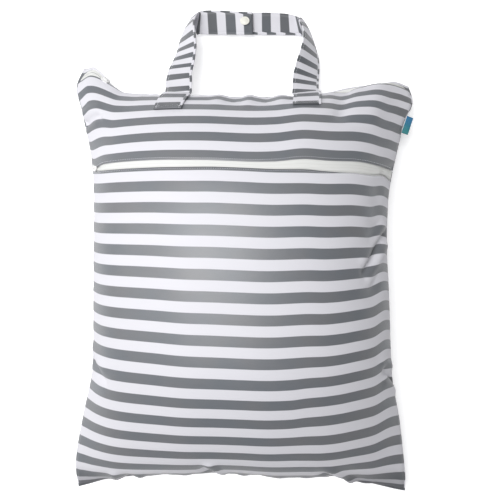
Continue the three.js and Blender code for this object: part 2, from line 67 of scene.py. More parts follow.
# Zips
ZIP_OPENING = 9.0
LOWER_RIM = 127.5  # folded edge of the lower front panel, along the cloth
PRINT_STEP = 12.7  # the stripes of the lower panel don't run on from the upper panel's
UPPER_RIM = LOWER_RIM + ZIP_OPENING
ZIP_LINE = LOWER_RIM + ZIP_OPENING / 2
TAPE_TUCK = 6.0
TAPE = 0.8

# Handle and snap
STRAP_WIDTH = 32.0
STRAP_THICKNESS = 2.0
LEG_SPAN = 145.0
BAR_TILT = 14.0
BAR_OUT = Vector((0, math.sin(math.radians(BAR_TILT)), math.cos(math.radians(BAR_TILT))))
EDGE_LIFT = 1.0
OVERLAP_SHIFT = 1.5  # the snap sits this far beside the bag's middle
SNAP_PLACE = (244.8, 20.9, 11.6)  # across and down the picture, and height

# The bag's middle in the frame: the snap's cap gives it across, and the handle's reach gives it along
cap_low, cap_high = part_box("snap_cap")
MIDDLE_ALONG = -47.47
BAG_MIDDLE = Vector(((cap_low.x + cap_high.x) / 2 / MM - OVERLAP_SHIFT, MIDDLE_ALONG, 0))

# The camera looks straight down on a point a little above and right of the bag's middle
CAMERA_HEIGHT = 750.0
CAMERA_PLACE = (8.0, 40.0)
FOCAL_LENGTH = 43.2
SENSOR = 36.0
PICTURE = 500  # width and height of the picture


def clamp(value, low, high):
    return min(high, max(low, value))


def mix(a, b, share):
    return a + (b - a) * share


def smoothstep(low, high, value):
    t = clamp((value - low) / (high - low), 0, 1)
    return t * t * (3 - 2 * t)


def read(rows, at, column=1):
    """Smooth value of a table's column between its rows; column 0 is the place."""
    last = len(rows) - 1
    i = 0
    while i < last - 1 and at > rows[i + 1][0]:
        i += 1

    def slope(k):
        before, after = rows[max(k - 1, 0)], rows[min(k + 1, last)]
        return (after[column] - before[column]) / (after[0] - before[0])

    span = rows[i + 1][0] - rows[i][0]
    t = clamp((at - rows[i][0]) / span, 0, 1)
    start = (1 + 2 * t) * (1 - t) ** 2 * rows[i][column] + t * (1 - t) ** 2 * span * slope(i)
    end = t * t * (3 - 2 * t) * rows[i + 1][column] + t * t * (t - 1) * span * slope(i + 1)
    return start + end


def to_frame(point):
    return (point + BAG_MIDDLE) * MM


# The seam round the bag: corners as shares of half the cut, and how far each side is pulled in
CORNERS = {
    "bottom left": (-0.988, -0.97),
    "bottom right": (0.97, -0.99),
    "top left": (-0.955, 0.995),
    "top right": (0.99, 0.94),
}
LEFT_SIDE = [  # place from the bottom to the top corner, pull as a share of half the width
    (-1.0, 0.0),
    (-0.9, -0.004),
    (-0.8, 0.012),
    (-0.6, 0.066),
    (-0.4, 0.118),
    (0.0, 0.125),
    (0.4, 0.115),
    (0.6, 0.083),
    (0.8, 0.012),
    (0.9, -0.03),
    (1.0, 0.0),
]
RIGHT_SIDE = [
    (-1.0, 0.0),
    (-0.9, 0.013),
    (-0.8, 0.034),
    (-0.6, 0.075),
    (-0.4, 0.125),
    (0.0, 0.155),
    (0.2, 0.168),
    (0.4, 0.158),
    (0.5, 0.14),
    (0.6, 0.112),
    (0.7, 0.08),
    (0.8, 0.046),
    (0.9, -0.012),
    (1.0, 0.0),
]
BOTTOM_SIDE = [
    (-1.0, 0.0),
    (-0.9, 0.033),
    (-0.8, 0.062),
    (-0.6, 0.094),
    (-0.2, 0.128),
    (0.0, 0.125),
    (0.2, 0.11),
    (0.6, 0.1),
    (0.8, 0.052),
    (1.0, 0.0),
]
TOP_SIDE = [
    (-1.0, 0.0),
    (-0.9, 0.048),
    (-0.8, 0.08),
    (-0.6, 0.1),
    (0.0, 0.106),
    (0.4, 0.082),
    (0.6, 0.038),
    (0.8, 0.004),
    (0.9, -0.014),
    (1.0, 0.0),
]

# Slope of the stuffed front in degrees, at millimetres of cloth from the bag's middle
SLOPES = {
    "left": [(0, 0), (20, 2), (45, 6), (66, 15), (88, 20), (110, 20), (128, 22), (140, 31), (152, 43),
             (166, 55), (185, 64), (200, 69)],
    "right": [(0, 0), (10, 3), (35, 8), (66, 13), (90, 19), (112, 27), (133, 34), (150, 42), (166, 48),
              (185, 58), (200, 67)],
    "top": [(0, 0), (60, 3), (100, 9), (124, 15), (136, 19), (148, 21.5), (170, 27), (192, 35), (210, 45),
            (225, 52), (237, 58), (250, 72)],
    "bottom": [(0, 0), (66, 2), (78, 6), (89, 10), (111, 15.5), (134, 18), (156, 21.5), (178, 28), (190, 33),
               (201, 38), (212, 45), (230, 56), (250, 66)],
}
# How far the cloth has slid toward the handle in millimetres: a table across the bag from left to right,
# and the share of it from the bottom seam to the top
SLIDES = [
    (
        [(-1, 2), (-0.93, 2.2), (-0.83, 1.8), (-0.47, -1.3), (-0.25, -3.5), (0.05, -3.8),
         (0.33, -2.6), (0.58, -6), (0.75, -4.6), (0.86, -0.4), (0.94, 1.4), (1, 2.4)],
        [(-1, 0), (-0.8, 0.74), (-0.5, 1), (0.35, 1), (0.75, 0), (1, 0)],
    ),
    (
        [(-1, -3.5), (-0.93, -4), (-0.85, -5.4), (-0.7, -6.5), (-0.5, -5.2), (-0.2, -2.5), (0, -1.5),
         (0.3, -2.7), (0.55, -4.6), (0.78, -3.6), (0.9, -2.4), (1, 1)],
        [(-1, 0), (-0.9, 1), (-0.8, 0.95), (-0.62, 0.68), (-0.45, 0.4), (-0.3, 0), (-0.2, 0), (1, 0)],
    ),
    (
        [(-1, 0), (0.4, 0), (0.45, 0), (0.6, 0.8), (0.75, 3), (0.86, 5), (0.95, 6), (1, 6)],
        [(-1, 0), (-0.85, 0.3), (-0.7, 1), (-0.05, 1), (0.12, 0.4), (0.25, 0), (0.32, 0), (1, 0)],
    ),
    (
        [(-1, 0), (-0.93, -4), (-0.8, -1), (-0.5, 0), (0, -2), (0.18, 0), (0.33, 3.2), (0.55, 0.5),
         (0.75, 0.4), (0.86, -1.8), (0.94, -1), (1, 1.5)],
        [(-1, 0), (0.45, 0), (0.51, 0), (0.56, 1), (0.9, 0.8), (1, 0)],
    ),
    (
        [(-1, 0), (0.2, 0), (0.27, 0), (0.34, 1.2), (0.48, 2.6), (0.7, 2.4), (0.85, 1.6), (1, 1.5)],
        [(-1, 0), (-0.85, 0), (-0.75, -0.3), (-0.66, 0), (-0.55, 0.9), (-0.45, 1), (-0.35, 0.5), (-0.25, 0),
         (-0.2, 0), (1, 0)],
    ),
]
# The fold in the left seam below the top corner pulls the cloth toward itself, also in millimetres
SEAM_PULL = (
    [(-1, -13), (-0.96, -9), (-0.92, -5), (-0.86, -1.5), (-0.8, 0), (-0.74, 0), (1, 0)],
    [(-1, 0), (0.45, 0), (0.5, 0), (0.57, 0.2), (0.66, 0.5), (0.75, 0.85), (0.84, 1), (0.93, 0.9),
     (0.97, 0.6), (1, 0)],
)
# Folds of the front: both ends on the flat cloth, height out of the bag and half width, in millimetres
FOLDS = [
    (-146, -226, -147, -252, 2.6, 6),
    (-131, -230, -131, -252, -2.2, 6),
    (-116, -233, -117, -252, 2.0, 5),
    (-88, -236, -90, -252, -1.4, 6),
    (-62, -232, -64, -252, 1.5, 7),
    (-33, -203, -20, -226, 3.0, 5),
    (-38, -214, -27, -232, -4.0, 6),
    (2, -236, 4, -252, 1.4, 6),
    (20, -234, 22, -252, -1.4, 6),
    (44, -236, 46, -252, 1.4, 7),
    (74, -236, 76, -252, 1.4, 6),
    (103, -210, 127, -240, 3.6, 6),
    (126, -238, 152, -252, 3.0, 6),
    (96, -222, 118, -250, -3.6, 7),
    (188, 58, 142, 18, -4.0, 5),
    (182, 68, 140, 32, 2.2, 6),
    (190, 46, 150, 8, 2.6, 6),
    (168, 104, 156, 0, -3.0, 14),
    (196, -113, 176, -102, -4.5, 4.5),
    (190, -98, 172, -90, 2.0, 6),
    (194, -126, 176, -116, 2.0, 6),
    (-190, -90, -158, -104, -2.8, 4.5),
    (-190, -76, -160, -90, 1.4, 6),
    (-202, 195, -170, 195, -4.5, 4.5),
    (-200, 206, -172, 204, 2.0, 5),
    (-196, 184, -176, 186, 1.5, 5),
    (198, 139, 174, 134, -2.2, 4),
    (198, 122, 176, 125, -2.2, 4),
    (198, 130, 170, 129, 1.6, 5),
    (-198, 138, -178, 134, -1.6, 4),
    (-198, 122, -178, 125, -1.6, 4),
    (-30, 224, -32, 254, 1.8, 7),
    (-12, 226, -12, 254, -1.4, 7),
    (6, 222, 5, 254, 2.0, 7),
    (24, 226, 24, 254, -1.4, 7),
    (42, 224, 42, 254, 1.8, 7),
    (60, 228, 58, 254, -1.2, 7),
    (112, 196, 118, 254, -4.6, 13),
    (152, 196, 160, 254, 4.0, 15),
    (-150, 214, -158, 254, 2.0, 12),
]


def gathers(place, first, second):
    """An uneven wave along a seam, from two waves given as length, unevenness and its length."""
    total = 0.0
    for share, (length, wander, stretch) in ((1, first), (0.6, second)):
        total += share * math.sin(place / length + wander * math.sin(place / stretch))
    return total


def fold_height(x, y):
    """Height of the front's folds and of the small gathers along its seams."""
    total = 0.0
    for x1, y1, x2, y2, height, width in FOLDS:
        length = math.hypot(x2 - x1, y2 - y1)
        along = ((x - x1) * (x2 - x1) + (y - y1) * (y2 - y1)) / length
        beside = ((x - x1) * (y2 - y1) - (y - y1) * (x2 - x1)) / length
        past = max(-along, along - length, 0)
        total += height * math.exp(-((beside / width) ** 2) - (past / (width * 1.1)) ** 2)
    from_side, from_end = HALF_WIDTH - abs(x), HALF_HEIGHT - abs(y)
    at_end = 0.45 * gathers(x, (2.9, 1.7, 17), (4.6, 2.1, 31))
    at_side = 0.4 * gathers(y, (3.1, 1.5, 19), (5.1, 2.3, 27))
    total += at_end * math.exp(-from_end / 11) * smoothstep(0, 5, from_end)
    return total + at_side * math.exp(-from_side / 10) * smoothstep(0, 5, from_side)


def side_point(rows, start, end, at, outward, middle_height):
    """A point of the seam loop on the side between two corners."""
    share = (at + 1) / 2
    pull = read(rows, at)
    across = mix(CORNERS[start][0], CORNERS[end][0], share) - outward[0] * pull
    along = mix(CORNERS[start][1], CORNERS[end][1], share) - outward[1] * pull
    height = mix(middle_height, CORNER_HEIGHT, abs(at) ** 2.2)
    return Vector((across * HALF_WIDTH, along * HALF_HEIGHT, height))


def left_seam(at):
    return side_point(LEFT_SIDE, "bottom left", "top left", at, (-1, 0), SIDE_SEAM_HEIGHT)


def right_seam(at):
    return side_point(RIGHT_SIDE, "bottom right", "top right", at, (1, 0), SIDE_SEAM_HEIGHT)


def bottom_seam(at):
    return side_point(BOTTOM_SIDE, "bottom left", "bottom right", at, (0, -1), END_SEAM_HEIGHT)


def top_seam(at):
    return side_point(TOP_SIDE, "top left", "top right", at, (0, 1), END_SEAM_HEIGHT)


def slid(u, v):
    """Slide of the cloth over the stuffing, and the part of it that runs along the side seams."""
    over = sum(read(across, u) * read(along, v) for across, along in SLIDES)
    pull = read(SEAM_PULL[0], u) * read(SEAM_PULL[1], v)
    at_seam = u**12
    return over * (1 - at_seam), over * at_seam * (1 - v**8) + pull


SIDE_FULLER = 2.0
BOTTOM_FULLER = 3.0
TOP_FULLER = 1.0
EAR_LIFT = 18.0  # the top left corner stands up like an ear


def grown(point, u, v):
    """The point moved out near the seams, where the cut edges turned inward make the seam fuller."""
    point.x += math.copysign(SIDE_FULLER * abs(u) ** 6 * (1 - v**8), u)
    if v < 0:
        point.y -= BOTTOM_FULLER * v**8 * (1 - 0.6 * u**12)
    else:
        ear = smoothstep(0.72, 0.92, -u) * (1 - 0.55 * smoothstep(0.92, 1, -u))
        point.y += TOP_FULLER * v**8 + EAR_LIFT * ear * smoothstep(0.4, 1, v) ** 2
    return point


def seam_patch(u, v):
    """Patch that spans the seam loop, and the slack of the cloth across and along it."""
    s, t = (u + 1) / 2, (v + 1) / 2
    left, right, bottom, top = left_seam(v), right_seam(v), bottom_seam(u), top_seam(u)
    corners = (
        left_seam(-1) * (1 - s) * (1 - t) + right_seam(-1) * s * (1 - t)
        + left_seam(1) * (1 - s) * t + right_seam(1) * s * t
    )
    point = left * (1 - s) + right * s + bottom * (1 - t) + top * t - corners
    return point, HALF_WIDTH - (right.x - left.x) / 2, HALF_HEIGHT - (top.y - bottom.y) / 2


class Profile:
    """Reach and drop of the front from the bag's middle to a seam, from its slopes."""

    def __init__(self, slopes, half):
        self.half, self.steps = half, 120
        self.reach, self.drop = [0.0], [0.0]
        step = half / self.steps
        for i in range(self.steps):
            slope = math.radians(read(slopes, (i + 0.5) * step))
            self.reach.append(self.reach[-1] + math.cos(slope) * step)
            self.drop.append(self.drop[-1] + math.sin(slope) * step)

    def at(self, values, distance):
        place = clamp(distance / self.half, 0, 1) * self.steps
        i = min(self.steps - 1, int(place))
        return mix(values[i], values[i + 1], place - i)

    def rise(self, distance):
        return 1 - self.at(self.drop, distance) / self.drop[-1]

    def spread(self, distance, slack):
        even = self.reach[-1] * distance / self.half
        return (self.at(self.reach, distance) - even) * slack / (self.half - self.reach[-1])


PROFILES = {
    "left": Profile(SLOPES["left"], HALF_WIDTH),
    "right": Profile(SLOPES["right"], HALF_WIDTH),
    "top": Profile(SLOPES["top"], HALF_HEIGHT),
    "bottom": Profile(SLOPES["bottom"], HALF_HEIGHT),
}
STUFFING = CROWN - CLOTH - GAP / 2 - seam_patch(0, 0)[0].z


def drawn_front(u, v):
    """Inner face of the front cloth at a place of its flat cut, u and v from -1 to 1."""
    over, along_seam = slid(u, v)
    v += along_seam / HALF_HEIGHT
    point, slack_across, slack_along = seam_patch(u, v)
    across = PROFILES["left" if u < 0 else "right"]
    along = PROFILES["bottom" if v < 0 else "top"]
    x, y = abs(u) * HALF_WIDTH, abs(v) * HALF_HEIGHT
    point.x += math.copysign(across.spread(x, slack_across), u)
    point.y += math.copysign(along.spread(y, slack_along), v)
    point.y += over
    point.z += STUFFING * across.rise(x) * along.rise(y) + GAP / 2
    return grown(point, u, v)


BACK_REACH = 0.86  # how far the back reaches toward a seam, as a share of its flat cloth


def back_bend(share, flat):
    return clamp((abs(share) - flat) / (1 - flat), 0, 1) * math.pi / 2


def back_spread(share, flat):
    reach = abs(share)
    if reach > flat:
        reach = flat + (BACK_REACH - flat) * math.sin(back_bend(share, flat))
    return (math.copysign(reach, share) - BACK_REACH * share) / (1 - BACK_REACH)


def drawn_back(u, v):
    """Inner face of the back cloth: flat where it rests, curving up to the seams."""
    v += slid(u, v)[1] * u**8 / HALF_HEIGHT
    point, slack_across, slack_along = seam_patch(u, v)
    flat_u, flat_v = REST_WIDTH / CUT_WIDTH, REST_HEIGHT / CUT_HEIGHT
    point.x += slack_across * back_spread(u, flat_u)
    point.y += slack_along * back_spread(v, flat_v)
    share = 1 - math.cos(back_bend(u, flat_u)) * math.cos(back_bend(v, flat_v))
    point.z = mix(CLOTH + GAP, point.z - GAP / 2, share)
    return grown(point, u, v)


# Settling: the drawn shape is the start of a simulated cloth whose rest lengths are the flat cut's
SETTLE_COLUMNS = 112
SETTLE_ROWS = 140
SETTLE_FRAMES = 20
PRESSURE = 20.0
CLOTH_MASS = 0.0001
STRETCH_STIFFNESS = 15
SHEAR_STIFFNESS = 5
BEND_STIFFNESS = 0.5
AIR_DAMPING = 4
SETTLE_LIMIT = 6.0  # how far a point may move
SEAM_HOLD = 1.0
CLOTH_HOLD = 0.2  # how firmly the front keeps to the drawn shape
REST_HOLD = 0.9


class Cloth:
    """A grid of points that reads as a smooth face; u and v run from -1 to 1."""

    def __init__(self, face, columns, rows):
        self.columns, self.rows = columns, rows
        self.points = [
            [face(2 * c / columns - 1, 2 * r / rows - 1) for c in range(columns + 1)]
            for r in range(rows + 1)
        ]

    def __call__(self, u, v):
        x = clamp((u + 1) / 2, 0, 1) * self.columns
        y = clamp((v + 1) / 2, 0, 1) * self.rows
        c, r = min(int(x), self.columns - 1), min(int(y), self.rows - 1)
        across, along = bend_weights(x - c), bend_weights(y - r)
        point = Vector((0, 0, 0))
        for j, weight in enumerate(along):
            row = self.points[clamp(r - 1 + j, 0, self.rows)]
            for i, share in enumerate(across):
                point += row[clamp(c - 1 + i, 0, self.columns)] * (weight * share)
        return point


def bend_weights(t):
    """Weights of four neighbouring points on a smooth curve between the middle two."""
    return (
        (-t + 2 * t * t - t**3) / 2,
        (2 - 5 * t * t + 3 * t**3) / 2,
        (t + 4 * t * t - 3 * t**3) / 2,
        (t**3 - t * t) / 2,
    )


def normal_of(face, u, v, side=1):
    step = 0.006
    along_u = face(min(u + step, 1), v) - face(max(u - step, -1), v)
    along_v = face(u, min(v + step, 1)) - face(u, max(v - step, -1))
    return along_u.cross(along_v).normalized() * side


front = Cloth(drawn_front, SETTLE_COLUMNS, SETTLE_ROWS)
back = Cloth(drawn_back, SETTLE_COLUMNS, SETTLE_ROWS)


def hold(u, v, side):
    """How firmly a point keeps its drawn place: the seams wholly, the back where it rests nearly so."""
    if max(abs(u), abs(v)) > 0.999:
        return SEAM_HOLD
    rests = abs(u) < REST_WIDTH / CUT_WIDTH and abs(v) < REST_HEIGHT / CUT_HEIGHT
    return REST_HOLD if side < 0 and rests else CLOTH_HOLD


def settle(faces):
    """Lets both faces, joined at the seams, settle over the stuffing as one simulated cloth."""
    mesh = bmesh.new()
    flat = mesh.verts.layers.float_vector.new("flat")
    grip = mesh.verts.layers.float.new("grip")
    spot = mesh.verts.layers.int.new("spot")
    places, seams, welded = [], {}, {}
    for face, side in zip(faces, (1, -1)):
        made = bmesh.ops.create_grid(mesh, x_segments=SETTLE_COLUMNS, y_segments=SETTLE_ROWS, size=1)
        made = made["verts"]
        for vert in made:
            u, v = vert.co.x, vert.co.y
            column, row = round((u + 1) / 2 * SETTLE_COLUMNS), round((v + 1) / 2 * SETTLE_ROWS)
            vert[flat] = Vector((u * HALF_WIDTH, v * HALF_HEIGHT, -side * 0.2)) * MM
            vert[grip] = hold(u, v, side)
            vert[spot] = len(places)
            vert.co = face.points[row][column] * MM
            places.append((side, column, row))
            if column in (0, SETTLE_COLUMNS) or row in (0, SETTLE_ROWS):
                if side > 0:
                    seams[column, row] = vert
                else:
                    welded[vert] = seams[column, row]
    below = {f for vert in made for f in vert.link_faces}
    bmesh.ops.reverse_faces(mesh, faces=list(below))
    bmesh.ops.weld_verts(mesh, targetmap=welded)
    mesh.verts.ensure_lookup_table()
    order = [places[vert[spot]] for vert in mesh.verts]
    flats = [Vector(vert[flat]) for vert in mesh.verts]
    grips = [vert[grip] for vert in mesh.verts]
    data = bpy.data.meshes.new("settling")
    mesh.to_mesh(data)
    mesh.free()
    body = bpy.data.objects.new("settling", data)
    bpy.context.scene.collection.objects.link(body)
    body.shape_key_add(name="drawn")
    cut = body.shape_key_add(name="cut")
    for i, place in enumerate(flats):
        cut.data[i].co = place
    group = body.vertex_groups.new(name="hold")
    for i, weight in enumerate(grips):
        group.add([i], weight, "REPLACE")
    cloth = body.modifiers.new("cloth", "CLOTH")
    cloth.settings.quality = 6
    cloth.settings.mass = CLOTH_MASS
    cloth.settings.tension_stiffness = STRETCH_STIFFNESS
    cloth.settings.compression_stiffness = STRETCH_STIFFNESS
    cloth.settings.shear_stiffness = SHEAR_STIFFNESS
    cloth.settings.bending_stiffness = BEND_STIFFNESS
    cloth.settings.air_damping = AIR_DAMPING
    cloth.settings.vertex_group_mass = "hold"
    cloth.settings.pin_stiffness = 1
    cloth.settings.use_pressure = True
    cloth.settings.uniform_pressure_force = PRESSURE
    cloth.settings.effector_weights.gravity = 0
    cloth.settings.rest_shape_key = cut
    cloth.collision_settings.use_collision = False
    cloth.point_cache.frame_start, cloth.point_cache.frame_end = 1, SETTLE_FRAMES
    for number in range(1, SETTLE_FRAMES + 1):
        bpy.context.scene.frame_set(number)
    seen_body = body.evaluated_get(bpy.context.evaluated_depsgraph_get())
    for (side, column, row), vert in zip(order, seen_body.data.vertices):
        face = faces[0] if side > 0 else faces[1]
        step = vert.co / MM - face.points[row][column]
        if step.length > SETTLE_LIMIT:
            step *= SETTLE_LIMIT / step.length
        face.points[row][column] = face.points[row][column] + step
    for side, column, row in order:
        if column in (0, SETTLE_COLUMNS) or row in (0, SETTLE_ROWS):
            faces[1].points[row][column] = faces[0].points[row][column].copy()
    bpy.data.objects.remove(body)
    bpy.context.scene.frame_set(1)


def raise_folds(face):
    """Moves a face's points out along its own normals by the height of its folds."""
    moved = []
    for r in range(1, face.rows):
        for c in range(1, face.columns):
            u, v = 2 * c / face.columns - 1, 2 * r / face.rows - 1
            height = fold_height(u * HALF_WIDTH, v * HALF_HEIGHT)
            moved.append((r, c, normal_of(face, u, v) * height))
    for r, c, step in moved:
        face.points[r][c] = face.points[r][c] + step


raise_folds(front)
settle((front, back))


# Shader maths that reads as Python
class Value:
    def __init__(self, nodes, socket):
        self.nodes, self.socket = nodes, socket

    def maths(self, operation, *others):
        values = [self.socket] + [o.socket if isinstance(o, Value) else o for o in others]
        return self.nodes.node("ShaderNodeMath", {"operation": operation}, dict(enumerate(values)))

    def __add__(self, other):
        return self.maths("ADD", other)

    def __radd__(self, other):
        return self.maths("ADD", other)

    def __sub__(self, other):
        return self.maths("SUBTRACT", other)

    def __rsub__(self, other):
        return self.maths("MULTIPLY", -1.0).maths("ADD", other)

    def __mul__(self, other):
        return self.maths("MULTIPLY", other)

    def __rmul__(self, other):
        return self.maths("MULTIPLY", other)

    def __truediv__(self, other):
        return self.maths("DIVIDE", other)

    def sine(self):
        return self.maths("SINE")

    def folded(self, period):
        """Distance to the nearest multiple of the period."""
        return self.maths("PINGPONG", period / 2)

    def between(self, low, high):
        """0 below low, 1 above high and smooth between."""
        settings = {"interpolation_type": "SMOOTHSTEP", "clamp": True}
        values = {"Value": self.socket, "From Min": low, "From Max": high}
        return self.nodes.node("ShaderNodeMapRange", settings, values)


class Material:
    """A node material; its pieces are made by node() and read as Values."""

    def __init__(self, name):
        self.material = bpy.data.materials.new(name)
        self.material.use_nodes = True
        self.tree = self.material.node_tree
        self.shader = self.tree.nodes["Principled BSDF"]

    def node(self, kind, settings=None, values=None, output=0):
        made = self.tree.nodes.new(kind)
        for key, value in (settings or {}).items():
            setattr(made, key, value)
        for key, value in (values or {}).items():
            self.link(value, made.inputs[key])
        return Value(self, made.outputs[output])

    def link(self, value, socket):
        if isinstance(value, Value):
            value = value.socket
        if isinstance(value, bpy.types.NodeSocket):
            self.tree.links.new(value, socket)
        else:
            socket.default_value = value

    def flat_cloth(self):
        """Place on the flat cloth, in millimetres across and along."""
        place = self.node("ShaderNodeUVMap", {"uv_map": FLAT})
        split = self.node("ShaderNodeSeparateXYZ", None, {0: place})
        scaled = [Value(self, split.socket.node.outputs[i]) * 1000.0 for i in (0, 1)]
        return place, scaled[0], scaled[1]

    def noise(self, place, scale, detail=2.0, stretch=(1, 1, 1)):
        mapped = self.node("ShaderNodeMapping", None, {"Vector": place, "Scale": stretch})
        return self.node("ShaderNodeTexNoise", None, {"Vector": mapped, "Scale": scale, "Detail": detail})

    def blend(self, share, first, second):
        values = {"Factor": share, "A": first, "B": second}
        made = self.tree.nodes.new("ShaderNodeMix")
        made.data_type = "RGBA"
        for key, socket in zip(("Factor", "A", "B"), (made.inputs[0], made.inputs[6], made.inputs[7])):
            self.link(values[key], socket)
        return Value(self, made.outputs[2])

    def set(self, **values):
        for key, value in values.items():
            self.link(value, self.shader.inputs[key.replace("_", " ")])

    def bump(self, height, distance, strength=1.0):
        values = {"Height": height, "Distance": distance, "Strength": strength}
        self.link(self.node("ShaderNodeBump", None, values), self.shader.inputs["Normal"])


FLAT = "flat_cloth"
WHITE_CLOTH = (0.685, 0.68, 0.725, 1)
GREY_PRINT = (0.13, 0.144, 0.163, 1)
GREY_WARM = (0.152, 0.155, 0.165, 1)
GREY_THREAD = (0.19, 0.2, 0.22, 1)
# painted shade: the dark grey that the straps' print and the bottom seam are darkened toward
GREY_PAINTED_SHADE = (0.045, 0.05, 0.06, 1)
WHITE_THREAD = (0.63, 0.625, 0.68, 1)
TAPE_WHITE = (0.76, 0.765, 0.75, 1)
TAPE_LINE = (0.66, 0.67, 0.645, 1)
LABEL_TEAL = (0.025, 0.2, 0.215, 1)
LABEL_BLUE = (0.035, 0.175, 0.34, 1)
LABEL_WORN = (0.16, 0.33, 0.4, 1)
PAINTED_SEAM_SHADE = (36, 10)  # where painted shade darkens the cloth toward the bottom seam, above it
PAINTED_SEAM_LINE = (9.4, 8.6)  # where the dark line at the bottom seam begins: painted shade of the seam's crease, also standing for the back panel's grey edge there


def printed_cloth(name, depth=0.0, seam=None):
    """Knit with printed grey stripes, its grey darkened by a share as painted shade, and darker toward a
    seam along the flat cloth by painted shade.
    """
    cloth = Material(name)
    place, across, along = cloth.flat_cloth()
    wander = (cloth.noise(place, 35.0) - 0.5) * 0.35
    edge = (along - (UPPER_RIM + STRIPE / 2) + wander).folded(2 * STRIPE) - STRIPE / 2
    print_share = edge.between(0.35, -0.35)
    threads = cloth.noise(place, 900.0, 3.0, (0.12, 1, 1))
    mottle = cloth.noise(place, 18.0, 3.0)
    grey = cloth.blend(mottle.between(0.3, 0.7), GREY_PRINT, GREY_WARM)
    grey = cloth.blend(threads * 0.35, grey, GREY_THREAD)
    # painted shade: the grey darkened by a share, for the shade on the straps
    grey = cloth.blend(depth, grey, GREY_PAINTED_SHADE)
    white = cloth.blend(threads * 0.25, WHITE_CLOTH, WHITE_THREAD)
    shade = cloth.blend(print_share, white, grey)
    # Painted shade: darker toward the bottom seam, with a painted dark line along its crease
    if seam is not None:
        for (start, end), share in ((PAINTED_SEAM_SHADE, 0.4), (PAINTED_SEAM_LINE, 0.8)):
            shade = cloth.blend(along.between(seam + start, seam + end) * share, shade, GREY_PAINTED_SHADE)
    cloth.set(Base_Color=shade)
    cloth.set(Roughness=0.7 - 0.27 * print_share + 0.06 * threads)
    cloth.set(Specular_IOR_Level=0.95)
    ribs = (across * (math.tau / 0.55)).sine() * (along * (math.tau / 0.7)).sine()
    cloth.bump(ribs * 0.5 + threads, 0.00006, 0.6)
    return cloth.material


def plain_finish(name, color, roughness, grain=0.0, grain_scale=400.0, shine=0.5):
    """A plain finish with a fine grain on the piece's own place."""
    finish = Material(name)
    place = finish.node("ShaderNodeTexCoord", None, None, 3)
    grains = finish.noise(place, grain_scale, 3.0)
    cloudy = finish.noise(place, 30.0)
    darker = tuple(c * 0.88 for c in color[:3]) + (1,)
    finish.set(Base_Color=finish.blend(cloudy.between(0.35, 0.75) * 0.5, color, darker))
    finish.set(Roughness=roughness + 0.08 * grains, Specular_IOR_Level=shine)
    finish.bump(grains, grain, 0.5)
    return finish.material


def woven_tape(name):
    """White zip tape: a herringbone weave, with two faint lines along its length."""
    tape = Material(name)
    place, across, along = tape.flat_cloth()
    weave = ((across + along) * (math.tau / 0.9)).sine() * ((across - along) * (math.tau / 0.9)).sine()
    lines = (along * (math.tau / 3.0)).sine().between(0.75, 1.0)
    tape.set(Base_Color=tape.blend(lines * 0.5, TAPE_WHITE, TAPE_LINE))
    tape.set(Roughness=0.62 + 0.1 * weave)
    tape.bump(weave * 0.4 - lines, 0.00015, 0.7)
    return tape.material


def woven_ribbon(name):
    """Satin ribbon that runs from teal to blue along its length, left bare."""
    satin = Material(name)
    place, across, along = satin.flat_cloth()
    ribs = (along * (math.tau / 0.6)).sine() * 0.6 + (across * (math.tau / 0.5)).sine() * 0.4
    worn = satin.noise(place, 260.0, 3.0)
    shade = satin.blend(across.between(-9.0, 9.0), LABEL_TEAL, LABEL_BLUE)
    satin.set(Base_Color=satin.blend(worn.between(0.45, 0.8) * 0.3, shade, LABEL_WORN))
    satin.set(Roughness=0.42 + 0.12 * ribs)
    satin.bump(ribs, 0.0001, 0.6)
    return satin.material


striped_cloth = printed_cloth("striped_cloth")
# the lower panel carries painted shade toward its bottom seam
lower_cloth = printed_cloth("lower_striped_cloth", seam=PRINT_STEP - HALF_HEIGHT)
# the straps' cloth is a darker copy of the print: painted shade
strap_cloth = printed_cloth("strap_cloth", depth=0.42)
zip_tape = woven_tape("zip_tape")
coil_plastic = plain_finish("zip_coil", (0.78, 0.78, 0.76, 1), 0.35, 0.00002)
enamel = plain_finish("zip_enamel", (0.8, 0.8, 0.8, 1), 0.3, 0.00001)
snap_plastic = plain_finish("snap_plastic", (0.86, 0.85, 0.78, 1), 0.22, 0.00001, 120.0)
thread = plain_finish("sewing_thread", (0.8, 0.8, 0.83, 1), 0.6, 0.00005, 2500.0)
ribbon = woven_ribbon("label_ribbon")


# Pieces
def keep(mesh, name, material, *replaced, smooth=True):
    """The finished mesh as a piece on the bag, with its finish, in place of CAD nodes."""
    data = bpy.data.meshes.new(name)
    for face in mesh.faces:
        face.smooth = smooth
    mesh.to_mesh(data)
    mesh.free()
    data.materials.append(material)
    piece = bpy.data.objects.new(name, data)
    bpy.context.scene.collection.objects.link(piece)
    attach(piece, "root")
    if replaced:
        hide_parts(*replaced)
    return piece


def even(count):
    return [2 * i / count - 1 for i in range(count + 1)]


def near_seams(count):
    """Places from -1 to 1 that lie closer together at both ends."""
    return [s * (1.3 - 0.3 * s * s) for s in even(count)]


def laid_grid(us, vs, place, flat):
    """A grid of cloth whose points are placed from their column and row values."""
    mesh = bmesh.new()
    columns, rows = len(us) - 1, len(vs) - 1
    bmesh.ops.create_grid(mesh, x_segments=columns, y_segments=rows, size=1)
    uv = mesh.loops.layers.uv.new(FLAT)
    spots = {}
    for vert in mesh.verts:
        u = us[round((vert.co.x + 1) / 2 * columns)]
        v = vs[round((vert.co.y + 1) / 2 * rows)]
        spots[vert] = (u, v)
    for face in mesh.faces:
        for loop in face.loops:
            x, y = flat(*spots[loop.vert])
            loop[uv].uv = (x * MM, y * MM)
    for vert, (u, v) in spots.items():
        vert.co = to_frame(place(u, v))
    return mesh


